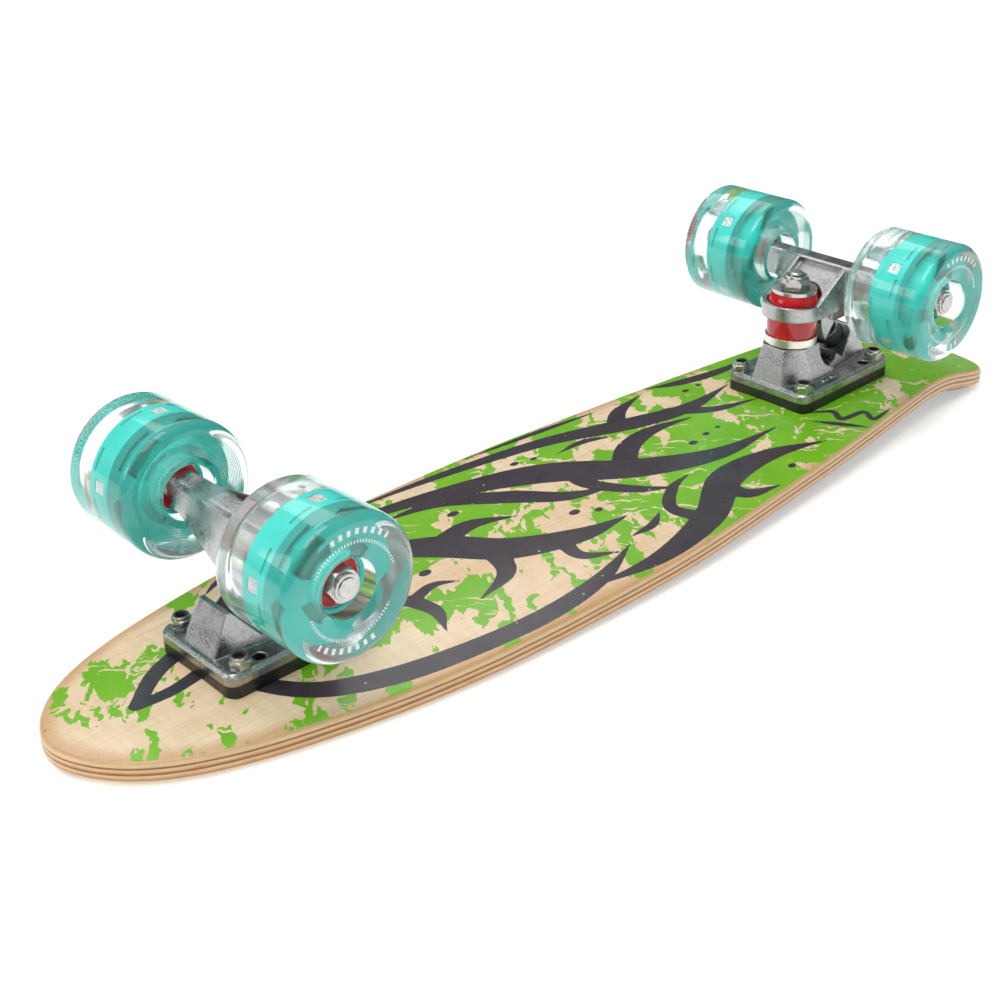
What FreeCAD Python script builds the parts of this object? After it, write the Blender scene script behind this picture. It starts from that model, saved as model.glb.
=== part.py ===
# Mini cruiser skateboard, lying on its riding face with the wheels up.
# Millimetres, +Z up. +X runs from the nose to the tail, the board's long middle plane is Y = 0,
# and Z = 0 is the lowest point of the grip surface.
import FreeCAD, Part
import Sketcher
import math
import os
from FreeCAD import Placement, Rotation, Vector

DIMENSIONS = (
    # deck, measured on its flat underside, which faces up here
    ("flat_height", "24.596"),
    ("deck_length", "570"),
    ("deck_thickness", "9.5"),
    ("deck_crown_radius", "605"),
    ("kick_start", "207"),
    ("kick_radius", "160"),
    ("kick_angle", "14"),
    ("deck_edge_round", "2.4"),
    ("grip_thickness", "0.8"),
    ("grip_inset", "2.5"),
    # trucks
    ("nose_axle_x", "-194"),
    ("tail_axle_x", "181"),
    ("axle_height", "60"),
    ("riser_thickness", "5"),
    ("slab_thickness", "5"),
    ("plate_inner_x", "-48"),
    ("plate_length", "74"),
    ("plate_width", "52"),
    ("plate_corner", "5"),
    ("slab_bevel", "1.2"),
    ("bolt_row_inner", "-42.5"),
    ("bolt_row_spare", "8.5"),
    ("bolt_row_outer", "17.5"),
    ("bolt_half_gauge", "20.65"),
    ("bolt_radius", "2.5"),
    ("bolt_hole_radius", "2.8"),
    ("bolt_head_radius", "4.8"),
    ("bolt_head_depth", "2.6"),
    ("bolt_top", "13.2"),
    ("mount_nut_flats", "8"),
    ("mount_nut_hex", "3.9"),
    ("mount_nut_height", "5.4"),
    ("tower_top", "28.5"),
    ("pivot_top", "26.8"),
    ("notch_x", "-11.5"),
    ("notch_z", "23.5"),
    ("notch_radius", "9.8"),
    # kingpin stack, along the kingpin, from the top of its tower
    ("kingpin_x", "-28.6"),
    ("kingpin_lean", "2.5"),
    ("kingpin_radius", "4"),
    ("kingpin_tip", "37.7"),
    ("kingpin_head_low", "-23"),
    ("kingpin_head_height", "5"),
    ("kingpin_flats", "13"),
    ("cup_radius", "13.6"),
    ("cup_height", "4.2"),
    ("cup_floor", "1.4"),
    ("cup_wall", "1"),
    ("bushing_radius", "13"),
    ("bushing_bore", "4.4"),
    ("ring_low", "15"),
    ("ring_high", "22.5"),
    ("ring_web_low", "17.6"),
    ("ring_web_high", "20"),
    ("ring_radius", "16.2"),
    ("ring_recess_radius", "13.9"),
    ("ring_hole_radius", "5.2"),
    ("upper_bushing_top", "28.2"),
    ("upper_washer_radius", "11.6"),
    ("upper_washer_low", "27.2"),
    ("upper_washer_high", "29.2"),
    ("kingpin_nut_low", "29.3"),
    ("kingpin_nut_hex", "5.2"),
    ("kingpin_nut_collar", "1.6"),
    # pivot and steering axis, which leans back from the pivot cup towards the kingpin ring
    ("pivot_x", "7"),
    ("pivot_z", "20.2"),
    ("steer_angle", "37.9"),
    ("pivot_cup_radius", "7.2"),
    ("pivot_cup_low", "-5.5"),
    ("pivot_cup_high", "12.6"),
    ("pivot_stem_radius", "4.2"),
    ("pivot_stem_gap", "0.35"),
    # hanger
    ("hanger_half_width", "40"),
    ("bar_inner_x", "-7"),
    ("bar_outer_x", "5.4"),
    ("bar_low", "51"),
    ("bar_high", "66"),
    ("bar_round", "2.6"),
    # axle and wheels; wheel pieces are measured from the wheel's middle, outwards
    ("axle_radius", "3.97"),
    ("axle_half_length", "73"),
    ("speed_washer_radius", "6"),
    ("speed_washer_thickness", "1"),
    ("axle_nut_flats", "12.7"),
    ("axle_nut_hex", "5"),
    ("axle_nut_height", "6.4"),
    ("wheel_middle", "53.05"),
    ("nose_wheel_turn", "-36"),
    ("tail_wheel_turn", "0"),
    ("wheel_radius", "30"),
    ("wheel_half_width", "22.65"),
    ("core_half_width", "12.5"),
    ("core_radius", "24.5"),
    ("rim_outboard", "6.8"),
    ("rim_inboard", "5.8"),
    ("web_half_width", "2.6"),
    ("slot_width", "1.6"),
    ("core_gap", "0.05"),
    ("hub_radius", "13.5"),
    ("core_rim_radius", "17.6"),
    ("bearing_outer", "12"),
    ("bearing_inner", "5"),
    ("bearing_radius", "11"),
    ("race_bore", "4"),
    ("inner_race_radius", "5.8"),
    ("outer_race_bore", "10.3"),
    ("ball_circle", "7.78"),
    ("ball_radius", "1.88"),
    ("shield_thickness", "0.5"),
    ("shoulder_radius", "9.2"),
    ("spacer_radius", "6.2"),
)

# Half outline of the deck in plan, from the rounded nose to the blunter tail.
OUTLINE = (
    (-285.0, 0.0), (-279.5, 17.5), (-264.0, 34.5), (-238.0, 48.3), (-205.0, 58.0),
    (-160.0, 66.6), (-110.0, 71.6), (-50.0, 73.0), (0.0, 72.2), (60.0, 67.2),
    (120.0, 61.2), (180.0, 53.6), (235.0, 47.4), (262.0, 46.0), (277.0, 40.5),
    (283.6, 24.0), (285.0, 0.0),
)

doc = FreeCAD.newDocument("skateboard")
sheet = doc.addObject("Spreadsheet::Sheet", "dims")
for row, (alias, text) in enumerate(DIMENSIONS, start=1):
    sheet.set("A%d" % row, alias)
    sheet.set("B%d" % row, text)
    sheet.setAlias("B%d" % row, alias)
doc.recompute()

nodes = []


def size(alias):
    return float(sheet.get(alias))


def cells(text):
    """An expression with every dimension's name turned into its cell of the sheet."""
    words = {alias for alias, _ in DIMENSIONS}
    out = []
    word = ""
    for letter in text + " ":
        if letter.isalnum() or letter == "_":
            word += letter
            continue
        out.append("dims." + word if word in words else word)
        out.append(letter)
        word = ""
    return "".join(out).strip()


def bind(item, sizes):
    for name, text in sizes.items():
        item.setExpression(name, cells(text))


def new_body(label, place=Placement()):
    body = doc.addObject("PartDesign::Body", label)
    body.Label = label
    body.Placement = place
    nodes.append(body)
    return body


def set_base(item, base):
    for axis, text in zip("xyz", base):
        item.setExpression("Placement.Base." + axis, cells(text))


def feature(body, kind, base=(), place=Placement(), **sizes):
    """A PartDesign feature in the body's frame, with its corner and sizes bound to the sheet."""
    item = body.newObject("PartDesign::" + kind, body.Label + "_" + kind)
    item.Placement = place
    set_base(item, base)
    bind(item, sizes)
    return item


def solid(kind, name, base=(), place=Placement(), **sizes):
    """A Part primitive of the document with its sizes bound to the sheet."""
    item = doc.addObject("Part::" + kind, name)
    item.Placement = place
    set_base(item, base)
    bind(item, sizes)
    return item


def less(name, base, tool):
    item = doc.addObject("Part::Cut", name)
    item.Base = base
    item.Tool = tool
    return item


def fused(name, pieces):
    item = doc.addObject("Part::MultiFuse", name)
    item.Shapes = pieces
    return item


def group(label, pieces, place=Placement()):
    """One node made of several separate solids."""
    item = doc.addObject("Part::Compound", label)
    item.Label = label
    item.Links = pieces
    item.Placement = place
    nodes.append(item)
    return item


def origin_plane(body, role):
    for item in body.Origin.OriginFeatures:
        if item.Role == role:
            return item
    raise ValueError(role)


def outline_sketch(body, role, points, offset=Placement()):
    """A closed sketch whose corners are bound to the sheet, each given as two expressions."""
    sketch = body.newObject("Sketcher::SketchObject", body.Label + "_sketch")
    sketch.AttachmentSupport = [(origin_plane(body, role), "")]
    sketch.MapMode = "FlatFace"
    sketch.AttachmentOffset = offset
    count = len(points)
    ring = []
    for i in range(count):
        turn = 2 * math.pi * i / count
        ring.append(Vector(40 + 30 * math.cos(turn), 40 + 30 * math.sin(turn), 0))
    for i in range(count):
        sketch.addGeometry(Part.LineSegment(ring[i], ring[(i + 1) % count]), False)
    Constraint = Sketcher.Constraint
    for i in range(count):
        sketch.addConstraint(Constraint("Coincident", i, 2, (i + 1) % count, 1))
    for i, (across, along) in enumerate(points):
        for kind, start, text in (("DistanceX", ring[i].x, across), ("DistanceY", ring[i].y, along)):
            index = sketch.addConstraint(Constraint(kind, -1, 1, i, 1, start))
            sketch.setExpression("Constraints[%d]" % index, cells(text))
    return sketch


def turned(body, sketch, axis):
    item = body.newObject("PartDesign::Revolution", body.Label + "_turned")
    item.Profile = sketch
    item.ReferenceAxis = (sketch, [axis])
    item.Angle = 360
    return item


def lofted(body, low, high, ruled=True):
    item = body.newObject("PartDesign::AdditiveLoft", body.Label + "_loft")
    item.Profile = low
    item.Sections = [high]
    item.Ruled = ruled
    return item


def edges_where(item, test):
    """Names of the edges of a feature's shape that pass a test."""
    return ["Edge%d" % (i + 1) for i, edge in enumerate(item.Shape.Edges) if test(edge)]


def dressed(body, kind, base, names, **sizes):
    item = body.newObject("PartDesign::" + kind, body.Label + "_" + kind)
    item.Base = (base, names)
    bind(item, sizes)
    return item


def round_copies(body, features, count, axis_role):
    item = body.newObject("PartDesign::PolarPattern", body.Label + "_around")
    item.Originals = features
    item.Axis = (origin_plane(body, axis_role), [""])
    item.Angle = 360
    item.Occurrences = count
    body.Tip = item
    return item


# ---------------------------------------------------------------------------------------------
# Deck and grip tape: a crowned strip bent down at the tail, trimmed to the outline in plan.

UP = Vector(0, 0, 1)
ACROSS = Vector(0, 1, 0)
ALONG = Vector(1, 0, 0)
CROWN = size("deck_crown_radius")


def strip(top, bottom):
    """The crowned strip between two depths below the deck's flat underside."""
    half = 90.0
    lean = math.asin(half / CROWN)
    start = -300.0

    def rim(depth, turn):
        radius = CROWN - depth
        return Vector(start, radius * math.sin(turn), radius * math.cos(turn) - CROWN)

    upper = Part.Arc(rim(top, -lean), rim(top, 0), rim(top, lean)).toShape()
    lower = Part.Arc(rim(bottom, -lean), rim(bottom, 0), rim(bottom, lean)).toShape()
    sides = [
        Part.LineSegment(rim(top, side), rim(bottom, side)).toShape() for side in (-lean, lean)
    ]
    section = Part.Face(Part.Wire(Part.__sortEdges__([upper, sides[1], lower, sides[0]])))
    bend = size("kick_start")
    radius = size("kick_radius")
    angle = math.radians(size("kick_angle"))

    def on_bend(turn):
        return Vector(bend + radius * math.sin(turn), 0, radius * (math.cos(turn) - 1))

    end = on_bend(angle) + Vector(math.cos(angle), 0, -math.sin(angle)) * 70
    path = Part.Wire([
        Part.LineSegment(Vector(start, 0, 0), on_bend(0)).toShape(),
        Part.Arc(on_bend(0), on_bend(angle / 2), on_bend(angle)).toShape(),
        Part.LineSegment(on_bend(angle), end).toShape(),
    ])
    return path.makePipe(section)


def trimmed(blank, inset):
    """The blank cut to the deck's outline, moved in by an inset."""
    points = []
    reach = size("deck_length") / 2
    for x, half in OUTLINE:
        points.append(Vector(x * (reach - inset) / 285.0, max(half - inset, 0.0), -80))
    points += [Vector(p.x, -p.y, p.z) for p in points[-2:0:-1]]
    spline = Part.BSplineCurve()
    spline.interpolate(Points=points, PeriodicFlag=True)
    plan = Part.Face(Part.Wire([spline.toShape()]))
    return blank.common(plan.extrude(UP * 120)).Solids[0]


def bolt_places():
    """The eight deck bolts as points in plan."""
    out = []
    for axle, way in ((size("nose_axle_x"), -1), (size("tail_axle_x"), 1)):
        for row in ("bolt_row_inner", "bolt_row_outer"):
            for side in (-1, 1):
                out.append((axle + way * size(row), side * size("bolt_half_gauge")))
    return out


def bolt_bore(x, y, extra):
    """The countersunk bore of one deck bolt, from the grip surface up."""
    low = -size("deck_thickness") - size("grip_thickness") - 1.2
    head = size("bolt_head_radius") + extra
    shank = size("bolt_hole_radius")
    depth = size("bolt_head_depth")
    floor = Part.makeCylinder(head, 1.6, Vector(x, y, low - 0.4))
    cone = Part.makeCone(head, shank, depth, Vector(x, y, low + 1.2))
    return floor.fuse(cone).fuse(Part.makeCylinder(shank, 20, Vector(x, y, low)))


def plain_node(label, shape, place):
    item = doc.addObject("Part::Feature", label)
    item.Label = label
    item.Shape = shape.removeSplitter()
    item.Placement = place
    nodes.append(item)
    return item


board_place = Placement(Vector(0, 0, size("flat_height")), Rotation())
thickness = size("deck_thickness")
deck_shape = trimmed(strip(0, thickness), 0)
rims = [edge for edge in deck_shape.Edges if isinstance(edge.Curve, Part.BSplineCurve)]
deck_shape = deck_shape.makeFillet(size("deck_edge_round"), rims)
grip_shape = trimmed(strip(thickness, thickness + size("grip_thickness")), size("grip_inset"))
for x, y in bolt_places():
    deck_shape = deck_shape.cut(bolt_bore(x, y, 0.15))
    grip_shape = grip_shape.cut(bolt_bore(x, y, 0.15))
plain_node("deck", deck_shape, board_place)
plain_node("grip_tape", grip_shape, board_place)

# ---------------------------------------------------------------------------------------------
# Trucks. Each is drawn in its own frame: origin on the deck's underside below the axle,
# +X towards the board's end, so the nose truck is the same thing turned half round.

SIDEWAYS = Rotation(ALONG, -90)
LEAN = Placement(
    Vector(size("kingpin_x"), 0, size("tower_top")), Rotation(ACROSS, size("kingpin_lean"))
)
STEER = Placement(
    Vector(size("pivot_x"), 0, size("pivot_z")), Rotation(ACROSS, size("steer_angle") - 90)
)


def at(place, x, y, z):
    """A placement moved by an offset in its own frame."""
    return place.multiply(Placement(Vector(x, y, z), Rotation()))


def is_upright(edge):
    return edge.BoundBox.ZLength > 2 and edge.BoundBox.XLength < 0.01 and edge.BoundBox.YLength < 0.01


def plate_holes(body):
    """The six mounting holes of the riser pad and of the baseplate."""
    for row in ("bolt_row_inner", "bolt_row_spare", "bolt_row_outer"):
        for side in ("-", ""):
            feature(body, "SubtractiveCylinder", (row, side + "bolt_half_gauge", "-3"),
                    Radius="bolt_hole_radius", Height="20")


def riser_pad(label, place):
    body = new_body(label, place)
    pad = feature(body, "AdditiveBox", ("plate_inner_x", "-plate_width / 2", "-2"),
                  Length="plate_length", Width="plate_width", Height="riser_thickness + 2")
    doc.recompute()
    dressed(body, "Fillet", pad, edges_where(pad, is_upright), Radius="plate_corner")
    feature(body, "SubtractiveCylinder", ("plate_inner_x - 5", "0", "-deck_crown_radius"),
            Placement(Vector(), Rotation(ACROSS, 90)), Radius="deck_crown_radius",
            Height="plate_length + 10")
    plate_holes(body)


def baseplate(label, place):
    body = new_body(label, place)
    slab_top = "riser_thickness + slab_thickness"
    slab = feature(body, "AdditiveBox", ("plate_inner_x", "-plate_width / 2", "riser_thickness"),
                   Length="plate_length", Width="plate_width", Height="slab_thickness")
    doc.recompute()
    rounded = dressed(body, "Fillet", slab, edges_where(slab, is_upright), Radius="plate_corner")
    doc.recompute()
    top = size("riser_thickness") + size("slab_thickness")
    names = edges_where(rounded, lambda edge: edge.BoundBox.ZMin > top - 0.01)
    dressed(body, "Chamfer", rounded, names, Size="slab_bevel")
    # kingpin tower
    low = outline_sketch(body, "XY_Plane", (
        ("-47", "-9.7"), ("-30", "-17.5"), ("-12", "-17.5"), ("-12", "17.5"), ("-30", "17.5"),
        ("-47", "9.7")), Placement(Vector(0, 0, top - 0.2), Rotation()))
    high = outline_sketch(body, "XY_Plane", (
        ("-42.3", "-7"), ("-34", "-13.2"), ("-14.5", "-12.4"), ("-14.5", "12.4"),
        ("-34", "13.2"), ("-42.3", "7")), Placement(Vector(0, 0, size("tower_top")), Rotation()))
    lofted(body, low, high)
    # pivot tower with the saddle between it and the kingpin tower
    low = outline_sketch(body, "XY_Plane", (
        ("-14", "-15.5"), ("4", "-13.5"), ("23.2", "-10.8"), ("23.2", "10.8"), ("4", "13.5"),
        ("-14", "15.5")), Placement(Vector(0, 0, top - 0.2), Rotation()))
    high = outline_sketch(body, "XY_Plane", (
        ("-14.8", "-11.8"), ("3", "-10.2"), ("14.4", "-9.4"), ("14.4", "9.4"), ("3", "10.2"),
        ("-14.8", "11.8")), Placement(Vector(0, 0, size("pivot_top")), Rotation()))
    lofted(body, low, high)
    feature(body, "SubtractiveCylinder", ("notch_x", "25", "notch_z"),
            Placement(Vector(), Rotation(ALONG, 90)), Radius="notch_radius", Height="50")
    feature(body, "SubtractiveBox", ("notch_x - notch_radius", "-25", "notch_z"),
            Length="2 * notch_radius", Width="50", Height="12")
    feature(body, "SubtractiveBox", (), at(STEER, -9.5, -20, 0),
            Length="40", Width="40", Height="13")
    feature(body, "SubtractiveCylinder", (), at(STEER, 0, 0, size("pivot_cup_low")),
            Radius="pivot_cup_radius", Height="20")
    # flat seat for the cup washer, the kingpin bore and the pocket for its head
    feature(body, "SubtractiveCylinder", (), at(LEAN, 0, 0, 0),
            Radius="cup_radius + 0.5", Height="12")
    feature(body, "SubtractiveCylinder", (), at(LEAN, 0, 0, size("kingpin_head_low") - 6),
            Radius="kingpin_radius + 0.05", Height="40")
    feature(body, "SubtractiveCylinder", (), at(LEAN, 0, 0, size("kingpin_head_low") - 6),
            Radius="kingpin_flats * 0.62", Height="kingpin_head_height + 6")
    plate_holes(body)
    # spot faces under the mounting nuts and three plain ribs along each side
    for row in ("bolt_row_inner", "bolt_row_outer"):
        for side in ("-", ""):
            feature(body, "SubtractiveCylinder", (row, side + "bolt_half_gauge", slab_top + " - 0.4"),
                    Radius="5.2", Height="10")
    for x in ("-26", "-19", "-12"):
        for y in ("-21.4", "19.6"):
            feature(body, "AdditiveBox", (x, y, slab_top + " - 0.2"),
                    Length="4.6", Width="1.8", Height="0.8")


def kingpin(label, place):
    body = new_body(label, place)
    feature(body, "AdditivePrism", ("0", "0", "kingpin_head_low"), Polygon="6",
            Circumradius="kingpin_flats / 1.7321", Height="kingpin_head_height")
    shank = feature(body, "AdditiveCylinder", ("0", "0", "kingpin_head_low"),
                    Radius="kingpin_radius", Height="kingpin_tip - kingpin_head_low")
    doc.recompute()
    tip = size("kingpin_tip")
    names = edges_where(shank, lambda edge: edge.BoundBox.ZMin > tip - 0.01)
    dressed(body, "Chamfer", shank, names, Size="0.7")


def lock_nut(name, base, place, flats, hex_height, collar, bore):
    """A hexagonal lock nut: prism, round collar and bore."""
    prism = solid("Prism", name + "_hex", base, place, Polygon="6",
                  Circumradius=flats + " / 1.7321", Height=hex_height)
    corner = solid("Cone", name + "_chamfer", base, place, Radius1=flats + " * 0.75",
                   Radius2=flats + " * 0.52", Height=hex_height)
    block = doc.addObject("Part::MultiCommon", name + "_block")
    block.Shapes = [prism, corner]
    round_part = solid("Cylinder", name + "_collar", base, place, Radius=flats + " * 0.43",
                       Height="(" + hex_height + ") + (" + collar + ")")
    body = fused(name + "_body", [block, round_part])
    hole = solid("Cylinder", name + "_bore", base, place, Radius=bore, Height="30")
    return less(name, body, hole)


def kingpin_stack(prefix, place):
    """Kingpin, its nut, two cup washers and two bushings, all on the kingpin's own axis."""
    kingpin(prefix + "_kingpin", place)
    nut = lock_nut(prefix + "_kingpin_nut", ("0", "0", "kingpin_nut_low"), Placement(),
                   "kingpin_flats", "kingpin_nut_hex", "kingpin_nut_collar",
                   "kingpin_radius + 0.05")
    nut.Label = prefix + "_kingpin_nut"
    nut.Placement = place
    nodes.append(nut)
    cup = new_body(prefix + "_lower_cup_washer", place)
    feature(cup, "AdditiveCylinder", Radius="cup_radius", Height="cup_height")
    feature(cup, "SubtractiveCylinder", ("0", "0", "cup_floor"),
            Radius="cup_radius - cup_wall", Height="10")
    feature(cup, "SubtractiveCylinder", Radius="kingpin_radius + 0.1", Height="10")
    cap = new_body(prefix + "_upper_cup_washer", place)
    feature(cap, "AdditiveCylinder", ("0", "0", "upper_washer_low"),
            Radius="upper_washer_radius", Height="upper_washer_high - upper_washer_low")
    feature(cap, "SubtractiveCylinder", ("0", "0", "upper_washer_low - 5"),
            Radius="upper_washer_radius - cup_wall", Height="upper_bushing_top - upper_washer_low + 5")
    feature(cap, "SubtractiveCylinder", ("0", "0", "upper_washer_low - 1"),
            Radius="kingpin_radius + 0.1", Height="10")
    lower = new_body(prefix + "_lower_bushing", place)
    ring = outline_sketch(lower, "XZ_Plane", (
        ("bushing_bore", "cup_floor"), ("cup_radius - cup_wall - 0.4", "cup_floor"),
        ("cup_radius - cup_wall - 0.2", "cup_height"), ("bushing_radius", "cup_height + 1"),
        ("bushing_radius", "ring_low + 0.6"), ("bushing_radius - 0.6", "ring_web_low"),
        ("bushing_bore", "ring_web_low")))
    turned(lower, ring, "V_Axis")
    upper = new_body(prefix + "_upper_bushing", place)
    ring = outline_sketch(upper, "XZ_Plane", (
        ("bushing_bore", "ring_web_high"), ("bushing_radius", "ring_web_high"),
        ("bushing_radius", "ring_high + 0.4"),
        ("upper_washer_radius - cup_wall - 0.2", "upper_washer_low"),
        ("upper_washer_radius - cup_wall - 0.3", "upper_bushing_top"),
        ("bushing_bore", "upper_bushing_top")))
    turned(upper, ring, "V_Axis")


def pivot_cup(label, place):
    body = new_body(label, place)
    feature(body, "AdditiveCylinder", ("0", "0", "pivot_cup_low"),
            Radius="pivot_cup_radius", Height="pivot_cup_high - pivot_cup_low")
    feature(body, "SubtractiveCylinder", ("0", "0", "pivot_cup_low + 1.5"),
            Radius="pivot_stem_radius + pivot_stem_gap", Height="30")


def mounting_hardware(prefix, place):
    """Four countersunk deck bolts and their four lock nuts."""
    bolts = []
    nuts = []
    low = "-deck_thickness - grip_thickness"
    for row in ("bolt_row_inner", "bolt_row_outer"):
        for side, word in (("-", "low"), ("", "high")):
            name = "_".join((prefix, row, word))
            y = side + "bolt_half_gauge"
            head = solid("Cone", name + "_head", (row, y, low), Radius1="bolt_head_radius",
                         Radius2="bolt_radius", Height="bolt_head_depth")
            shank = solid("Cylinder", name + "_shank", (row, y, low), Radius="bolt_radius",
                          Height="bolt_top + deck_thickness + grip_thickness")
            socket = solid("Prism", name + "_socket", (row, y, low + " - 1"), Polygon="6",
                           Circumradius="1.8", Height="2.6")
            bolts.append(less(name + "_bolt", fused(name + "_solid", [head, shank]), socket))
            nuts.append(lock_nut(name + "_nut", (row, y, "riser_thickness + slab_thickness - 0.4"),
                                 Placement(), "mount_nut_flats", "mount_nut_hex",
                                 "mount_nut_height - mount_nut_hex", "bolt_radius + 0.05"))
    group(prefix + "_mounting_bolts", bolts, place)
    group(prefix + "_mounting_nuts", nuts, place)


def hanger(label, place):
    body = new_body(label, place)
    bar = feature(body, "AdditiveBox", ("bar_inner_x", "-hanger_half_width", "bar_low"),
                  Length="bar_outer_x - bar_inner_x", Width="2 * hanger_half_width",
                  Height="bar_high - bar_low")
    doc.recompute()
    long_edges = edges_where(bar, lambda edge: edge.BoundBox.YLength > 50)
    dressed(body, "Fillet", bar, long_edges, Radius="bar_round")
    # yoke plate from the kingpin ring up to the bar, then the neck down to the pivot
    plate = outline_sketch(body, "XZ_Plane", (
        ("-28", "43.6"), ("-28", "51.2"), ("-6.6", "65.6"), ("-2", "65.6"), ("-2", "52"),
        ("-11.5", "43.6")), Placement(Vector(0, 0, -16.2), Rotation()))
    item = body.newObject("PartDesign::Pad", label + "_yoke")
    item.Profile = plate
    item.Length = 32.4
    neck = outline_sketch(body, "XZ_Plane", (
        ("-7.6", "23.7"), ("1", "34.3"), ("4.3", "39"), ("4.6", "57"), ("-6", "57"),
        ("-12.4", "45"), ("-12.2", "37"), ("-10.4", "29")), Placement(Vector(0, 0, -7), Rotation()))
    item = body.newObject("PartDesign::Pad", label + "_neck")
    item.Profile = neck
    item.Length = 14
    low = outline_sketch(body, "XY_Plane", (
        ("-3", "-8.5"), ("4.2", "-8.5"), ("4.2", "8.5"), ("-3", "8.5")),
        Placement(Vector(0, 0, 34), Rotation()))
    high = outline_sketch(body, "XY_Plane", (
        ("-3.4", "-34.6"), ("4.7", "-34.6"), ("4.7", "34.6"), ("-3.4", "34.6")),
        Placement(Vector(0, 0, 52.4), Rotation()))
    lofted(body, low, high)
    feature(body, "AdditiveCylinder", (), at(LEAN, 0, 0, size("ring_low")),
            Radius="ring_radius", Height="ring_high - ring_low")
    # seats for the two bushings, the kingpin hole and the hollow between the side rails
    feature(body, "SubtractiveCylinder", (), at(LEAN, 0, 0, size("ring_low") - 10),
            Radius="ring_recess_radius", Height="ring_web_low - ring_low + 10")
    feature(body, "SubtractiveCylinder", (), at(LEAN, 0, 0, size("ring_web_high")),
            Radius="ring_recess_radius", Height="30")
    feature(body, "SubtractiveCylinder", (), at(LEAN, 0, 0, 0),
            Radius="ring_hole_radius", Height="40")
    slope = Placement(Vector(-28, 0, 51.2), Rotation(ACROSS, -33.9))
    feature(body, "SubtractiveBox", (), at(slope, -4, -13.6, -3.2),
            Length="30", Width="27.2", Height="12")
    # stem into the pivot cup and the bore for the axle
    feature(body, "AdditiveCylinder", (), at(STEER, 0, 0, size("pivot_cup_low") + 2),
            Radius="pivot_stem_radius", Height="20")
    feature(body, "SubtractiveCylinder", ("0", "-50", "axle_height"), Placement(Vector(), SIDEWAYS),
            Radius="axle_radius + 0.03", Height="100")


def axle_parts(prefix, place):
    rod = new_body(prefix + "_axle", place)
    feature(rod, "AdditiveCylinder", ("0", "-axle_half_length", "axle_height"),
            Placement(Vector(), SIDEWAYS), Radius="axle_radius", Height="2 * axle_half_length")
    washers = []
    nuts = []
    races = []
    spacers = []
    for word, way in (("low", -1), ("high", 1)):
        turn = Rotation(ALONG, -90 * way)
        name = prefix + "_" + word
        side = "-" if way < 0 else ""

        def ring(title, start, length, outer, bore):
            low = (("0"), side + "(" + start + ")", "axle_height")
            body = solid("Cylinder", title + "_body", low, Placement(Vector(), turn),
                         Radius=outer, Height=length)
            hole = solid("Cylinder", title + "_hole", low, Placement(Vector(), turn),
                         Radius=bore, Height=length)
            return less(title, body, hole)

        near = "wheel_middle - bearing_outer"
        far = "wheel_middle + bearing_inner"
        width = "bearing_outer - bearing_inner"
        washers.append(ring(name + "_inner_washer", near + " - speed_washer_thickness",
                            "speed_washer_thickness - 0.02", "speed_washer_radius", "race_bore"))
        washers.append(ring(name + "_outer_washer", "wheel_middle + bearing_outer + 0.02",
                            "speed_washer_thickness", "speed_washer_radius", "race_bore"))
        races.append(ring(name + "_near_race", near, width, "inner_race_radius", "race_bore"))
        races.append(ring(name + "_far_race", far, width, "inner_race_radius", "race_bore"))
        spacers.append(ring(name + "_spacer", "wheel_middle - bearing_inner + 0.02",
                            "2 * bearing_inner - 0.04", "spacer_radius", "race_bore"))
        start = "wheel_middle + bearing_outer + speed_washer_thickness + 0.05"
        nuts.append(lock_nut(name + "_axle_nut_piece", ("0", side + "(" + start + ")", "axle_height"),
                             Placement(Vector(), turn), "axle_nut_flats", "axle_nut_hex",
                             "axle_nut_height - axle_nut_hex", "axle_radius + 0.03"))
    group(prefix + "_axle_washers", washers, place)
    group(prefix + "_axle_nuts", nuts, place)
    group(prefix + "_bearing_inner_races", races, place)
    group(prefix + "_magnet_spacers", spacers, place)


# ---------------------------------------------------------------------------------------------
# Wheels. Each is drawn about its own middle with its axis along Y and its outer face at +Y.

def tyre(label, place):
    body = new_body(label, place)
    ring = outline_sketch(body, "XY_Plane", (
        ("bearing_radius + 1", "-wheel_half_width"), ("wheel_radius - 4.2", "-wheel_half_width"),
        ("wheel_radius - 1.4", "-wheel_half_width + 1.3"),
        ("wheel_radius", "-wheel_half_width + 4.4"),
        ("wheel_radius", "wheel_half_width - 4.4"),
        ("wheel_radius - 1.4", "wheel_half_width - 1.3"),
        ("wheel_radius - 4.2", "wheel_half_width"),
        ("bearing_radius + 4.4", "wheel_half_width - 0.4"),
        ("bearing_radius + 2.4", "wheel_half_width - 2"),
        ("bearing_radius + 1", "core_half_width + core_gap"),
        ("hub_radius + core_gap", "core_half_width + core_gap"),
        ("hub_radius + core_gap", "rim_outboard + core_gap"),
        ("core_radius + core_gap", "rim_outboard + core_gap"),
        ("core_radius + core_gap", "-rim_inboard - core_gap"),
        ("hub_radius + core_gap", "-rim_inboard - core_gap"),
        ("hub_radius + core_gap", "-core_half_width - core_gap"),
        ("bearing_radius + 1", "-core_half_width - core_gap")))
    turned(body, ring, "V_Axis")


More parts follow.
